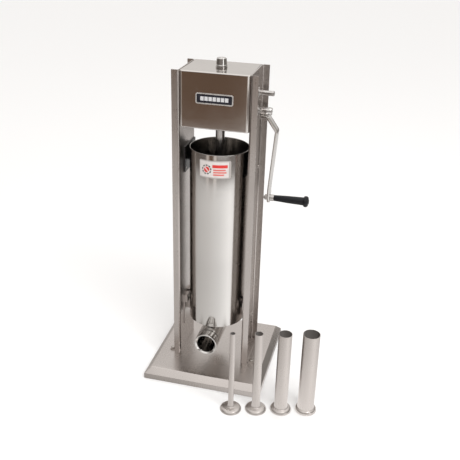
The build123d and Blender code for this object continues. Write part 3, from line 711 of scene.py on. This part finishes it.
def grip():
    """The turning grip: a tapered, lightly ribbed barrel with a rolled end flange."""
    low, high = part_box("grip")
    y = (low.y + high.y) / 2 / MM
    z = (low.z + high.z) / 2 / MM
    start = low.x / MM
    end = high.x / MM
    shoulder = end - 9.5
    bore = 4.05
    neck = 7.2
    taper = 2.6
    barrel = shoulder - 3 - start
    outline = [(bore, start, 0.2), (neck, start, 1.0)]
    for step in range(1, 24):
        share = step / 24
        swell = 0.35 * math.sin(math.pi * share) ** 2
        outline.append((neck + taper * share + swell, start + share * barrel, 0))
    outline += [
        (9.9, shoulder - 3, 0.8),
        (13.3, shoulder - 0.2, 1.2),
        (13.5, shoulder + 5, 2.4),
        (10.8, end - 1.0, 1.6),
        (6.0, end, 0.5),
        (6.0, shoulder - 2.3, 0),
        (bore, shoulder - 2.3, 0),
    ]

    grooves = 10
    groove_depth = 0.45
    groove_start = start + 6
    groove_end = shoulder - 10

    def ribbed(r, along, angle):
        share = (along - groove_start) / (groove_end - groove_start)
        if r < 6.5 or not 0 < share < 1:
            return r
        fade = min(1.0, 8 * share, 8 * (1 - share))
        groove = max(0.0, math.cos(grooves * angle)) ** 6
        return r - groove_depth * groove * fade

    lathe(
        "grip_moulded", "grip", "grip_plastic", "x", (0, y, z), soften(outline), ["grip"], 180,
        ribbed,
    )


# -------------------------------------------------------------------- base
def base_tray():
    """One pressed sheet: bevelled all round, bends rounded, corners welded and ground."""
    low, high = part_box("base_tray")
    half_x = high.x / MM
    half_y = high.y / MM
    bottom = low.z / MM
    top = high.z / MM
    lip = 14.2
    inset = 14.5
    sheet = 1.5
    flat = inset + 12
    outer = soften([
        (0, bottom, 0),
        (0, lip, 2.6),
        (inset, top, 3.2),
        (flat, top, 0),
    ], closed=False)
    inner = soften([
        (flat, top - sheet, 0),
        (inset + 0.6, top - sheet, 1.8),
        (sheet, lip - 0.6, 1.2),
        (sheet, bottom, 0),
    ], closed=False)

    def ring(offset, z):
        corner = 1.5 + offset * 0.12
        row = []
        for sx, sy, first in ((1, 1, 0), (-1, 1, 90), (-1, -1, 180), (1, -1, 270)):
            for step in range(5):
                lean = math.radians(first + 90 * step / 4)
                x = sx * (half_x - offset - corner) + corner * math.cos(lean)
                y = sy * (half_y - offset - corner) + corner * math.sin(lean)
                row.append((x * MM, y * MM, z * MM))
        return row

    rows = [ring(offset, z) for offset, z in inner + outer]
    points, faces = skin(rows, caps=True)
    finish_mesh("base_sheet", "stand", "satin_sheet", points, faces, ["base_tray"], 50.0)
    edge = 1.2
    crown = inset + 0.4
    spine = ((edge, bottom + 0.5), (edge, lip - 0.3), (crown, top - 0.35))
    for number, (sx, sy) in enumerate(((-1, -1), (1, -1), (1, 1), (-1, 1)), 1):
        path = [(sx * (half_x - offset), sy * (half_y - offset), z) for offset, z in spine]
        name = "base_corner_weld_%d" % number
        bead(name, "stand", "satin_sheet", path, 1.5, 2.2, 0.45, (sx, sy, 0.6))


def rod_cap():
    """The turned cap on the rod: a dished top, a rounded shoulder and a small foot flange."""
    low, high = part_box("rod_cap")
    radius = high.x / MM
    bottom = low.z / MM
    top = high.z / MM
    bore = 6.9
    outline = soften([
        (bore, bottom, 0.2),
        (radius, bottom, 0.6),
        (radius - 0.1, bottom + 1.8, 0.7),
        (radius - 0.9, bottom + 2.8, 0.6),
        (radius - 2.3, top, 2.0),
        (4.6, top - 0.1, 0.7),
        (3.6, top - 1.1, 0.6),
        (0, top - 1.3, 0),
        (0, top - 5, 0),
        (bore, top - 5, 0),
    ])
    replaced = ["rod_cap"]
    lathe("rod_cap_turned", "piston_rod", "polished_steel", "z", (0, 0, 0), outline, replaced, 96)


def valve_spring():
    """The air valve's return spring; the real one shortens as the valve lifts, this coil keeps one
    length.
    """
    low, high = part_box("valve_spring")
    wire = 0.5
    turns = 4
    sides = 10
    y = (low.y + high.y) / 2 / MM
    coil = (high.x - low.x) / 2 / MM - wire
    bottom = low.z / MM + wire
    top = high.z / MM - wire
    steps = turns * 40
    rows = []
    for step in range(steps + 1):
        share = step / steps
        turn = 2 * math.pi * turns * share
        out = Vector((math.cos(turn), math.sin(turn), 0))
        centre = Vector((0, y, bottom + (top - bottom) * share)) + out * coil
        row = []
        for side in range(sides):
            angle = 2 * math.pi * side / sides
            spot = centre + out * (wire * math.cos(angle)) + Vector((0, 0, wire * math.sin(angle)))
            row.append(tuple(spot * MM))
        rows.append(row)
    points, faces = skin(rows, caps=True)
    replaced = ["valve_spring"]
    spring = finish_mesh("spring_coil", "piston_rod", "machined_steel", points, faces, replaced)
    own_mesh(spring)


cylinder()
ring_nut()
outlet()
for tube_letter in "abcd":
    stuffing_tube(tube_letter)
crank_arm()
crank_weld()
grip()
base_tray()
rod_cap()
valve_spring()
for crisp_name, crisp_width in CRISP:
    crisp(crisp_name, crisp_width)


# ------------------------------------------------------------------- stage
# What polished steel mirrors. The floor tables run over the bearing from the front, from -180 to
# +180 degrees (crank side) as 0 to 1; the others run over the height of the direction looked in.
CARD_GLOW = 1.3
SKY_GLOW = 1.6
PALE = (1.0, 0.99, 0.98)
SWEEP = [
    (0.0, (0.62, 0.61, 0.60)),
    (0.08, (0.40, 0.385, 0.37)),
    (0.24, (0.40, 0.385, 0.37)),
    (0.31, (0.52, 0.505, 0.49)),
    (0.44, (0.62, 0.605, 0.59)),
    (0.555, (0.77, 0.76, 0.75)),
    (0.66, (1.0, 0.99, 0.98)),
    (0.78, (0.70, 0.69, 0.68)),
    (0.90, (0.62, 0.61, 0.60)),
]
BROWN = [
    (0.25, (0.10, 0.082, 0.07)),
    (0.395, (0.14, 0.12, 0.11)),
    (0.408, (0.52, 0.46, 0.42)),
    (0.425, (0.52, 0.46, 0.42)),
    (0.434, (0.118, 0.075, 0.051)),
    (0.474, (0.118, 0.075, 0.051)),
    (0.484, (0.62, 0.57, 0.53)),
    (0.502, (0.62, 0.57, 0.53)),
    (0.516, (0.18, 0.155, 0.14)),
    (0.70, (0.18, 0.165, 0.155)),
    (1.0, (0.22, 0.20, 0.185)),
]
WALL = [
    (0.0, (0.46, 0.445, 0.43)),
    (0.20, (0.50, 0.485, 0.47)),
    (0.60, (0.54, 0.53, 0.52)),
    (0.85, (0.90, 0.89, 0.88)),
]
HALL = [
    (0.0, (0.15, 0.135, 0.125)),
    (0.30, (0.17, 0.15, 0.14)),
    (0.55, (0.60, 0.59, 0.58)),
    (0.70, (0.76, 0.75, 0.74)),
]
SIDES = [
    (0.0, (0.065, 0.058, 0.052)),
    (0.35, (0.18, 0.165, 0.155)),
    (0.75, (0.40, 0.39, 0.38)),
]


def plane(name, size, z):
    mesh = bpy.data.meshes.new(name)
    corners = [(-size, -size, z), (size, -size, z), (size, size, z), (-size, size, z)]
    mesh.from_pydata(corners, [], [(0, 1, 2, 3)])
    piece = bpy.data.objects.new(name, mesh)
    bpy.context.scene.collection.objects.link(piece)
    return piece


def floor():
    """A plain pale floor that the steel doesn't mirror; a card below it is mirrored instead."""
    piece = plane("floor", 30.0, 0.0)
    piece.visible_glossy = False
    tree = Finish("floor_paper")
    tree.set(Base_Color=(0.95, 0.95, 0.95, 1.0), Roughness=0.95, Specular_IOR_Level=0.0)
    piece.data.materials.append(tree.material)


def mirrored_floor():
    """What polished steel sees of the studio's floor.

    It is palest in front on the right, brown far out except behind on the left, pale again in
    a streak beyond that, and shaded close to the machine's foot.
    """
    piece = plane("floor_card", 30.0, -0.002)
    piece.visible_camera = False
    piece.visible_diffuse = False
    piece.visible_shadow = False
    piece.visible_transmission = False
    material = new_material("floor_card_glow")
    tree = Tree(material.node_tree)
    x, y, _ = tree.split()
    ahead = tree.math("MULTIPLY", y, -1.0)
    bearing = tree.math("ARCTAN2", x, ahead)
    reach = tree.distance(x, y, (0.0, 0.0))
    turn = tree.remap(bearing, -math.pi, math.pi, 0.0, 1.0)
    sweep = tree.ramp(turn, SWEEP)
    brown = tree.ramp(turn, BROWN)
    sector = tree.remap(bearing, -2.3, -1.9, 0.0, 1.0)
    sector = tree.math("MULTIPLY", sector, tree.remap(bearing, 3.14, 2.98, 0.0, 1.0))
    far = tree.math("MULTIPLY", sector, tree.remap(reach, 1.90, 2.14, 0.0, 1.0))
    color = tree.mix(far, sweep, brown)
    beyond = tree.remap(reach, 3.6, 3.8, 0.0, 1.0)
    streak = tree.math("MULTIPLY", tree.within(bearing, 0.15, 0.85), beyond)
    color = tree.mix(streak, color, PALE)
    base_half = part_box("base_tray")[1]
    out_x = tree.math("SUBTRACT", tree.math("ABSOLUTE", x), base_half.x)
    out_y = tree.math("SUBTRACT", tree.math("ABSOLUTE", y), base_half.y)
    gap = tree.math("MAXIMUM", out_x, out_y)
    shade = tree.remap(gap, 0.0, 0.05, 0.35, 0.0)
    color = tree.mix(shade, color, (0.12, 0.105, 0.095))
    tree.emission(color, CARD_GLOW)
    piece.data.materials.append(material)


def world():
    """White to the eye; the object sees a studio.

    The studio has a bright wall behind with a dark corner on the right, a soft box over the
    front, dim sides and a window in front on the right.
    """
    scene_world = bpy.data.worlds.new("studio")
    bpy.context.scene.world = scene_world
    scene_world.use_nodes = True
    tree = Tree(scene_world.node_tree, "Generated")
    output = tree.nodes.new("ShaderNodeOutputWorld")
    x, y, z = tree.split()
    wall = tree.ramp(z, WALL)
    rightward = tree.remap(x, 0.38, 0.52, 0.0, 1.0)
    corner = tree.math("MULTIPLY", rightward, tree.remap(z, 0.55, 0.35, 0.0, 1.0))
    wall = tree.mix(corner, wall, (0.12, 0.115, 0.105))
    hall = tree.ramp(z, HALL)
    side = tree.remap(tree.math("ABSOLUTE", x), 0.35, 0.70, 0.0, 1.0)
    hall = tree.mix(side, hall, tree.ramp(z, SIDES))
    window = tree.patch(x, z, (0.68, 0.90), (-0.1, 0.45))
    hall = tree.mix(window, hall, PALE)
    behind = tree.remap(y, -0.05, 0.25, 0.0, 1.0)
    studio = tree.nodes.new("ShaderNodeBackground")
    tree.links.new(tree.mix(behind, hall, wall), studio.inputs["Color"])
    studio.inputs["Strength"].default_value = SKY_GLOW
    plain = tree.nodes.new("ShaderNodeBackground")
    plain.inputs["Color"].default_value = (1.0, 1.0, 1.0, 1.0)
    plain.inputs["Strength"].default_value = 1.0
    rays = tree.nodes.new("ShaderNodeLightPath")
    choose = tree.nodes.new("ShaderNodeMixShader")
    tree.links.new(rays.outputs["Is Camera Ray"], choose.inputs[0])
    tree.links.new(studio.outputs[0], choose.inputs[1])
    tree.links.new(plain.outputs[0], choose.inputs[2])
    tree.links.new(choose.outputs[0], output.inputs["Surface"])


def area_light(name, place, aim, size, power, color=(1.0, 1.0, 1.0), mirrored=False):
    data = bpy.data.lights.new(name, "AREA")
    data.shape = "RECTANGLE"
    data.size, data.size_y = size
    data.energy = power
    data.color = color
    lamp = bpy.data.objects.new(name, data)
    bpy.context.scene.collection.objects.link(lamp)
    lamp.location = place
    lamp.rotation_euler = (Vector(aim) - Vector(place)).to_track_quat("-Z", "Y").to_euler()
    lamp.visible_glossy = mirrored
    return lamp


floor()
mirrored_floor()
world()
area_light("key", (1.4, -1.6, 2.6), (0.0, 0.0, 0.4), (2.0, 2.0), 42)
area_light("spark", (0.9, -0.6, 1.9), (0.0, 0.0, 0.5), (0.25, 0.25), 3, mirrored=True)


# ------------------------------------------------------------------ camera
def camera():
    """The camera stands in front, to the right and above, and leans slightly."""
    place = Vector((0.39427, -1.50641, 1.11783))
    target = Vector((0.0218, 0.032, 0.3624))
    roll = math.radians(1.54)
    data = bpy.data.cameras.new("camera")
    data.lens = 54.16
    data.sensor_width = 36.0
    data.clip_end = 100.0
    eye = bpy.data.objects.new("camera", data)
    bpy.context.scene.collection.objects.link(eye)
    back = (place - target).normalized()
    right = Vector((0, 0, 1)).cross(back).normalized()
    up = back.cross(right)
    leaned_right = right * math.cos(roll) + up * math.sin(roll)
    leaned_up = up * math.cos(roll) - right * math.sin(roll)
    turn = Matrix((leaned_right, leaned_up, back)).transposed()
    eye.matrix_world = Matrix.Translation(place) @ turn.to_4x4()
    bpy.context.scene.camera = eye


camera()
bpy.context.scene.view_settings.view_transform = "Standard"
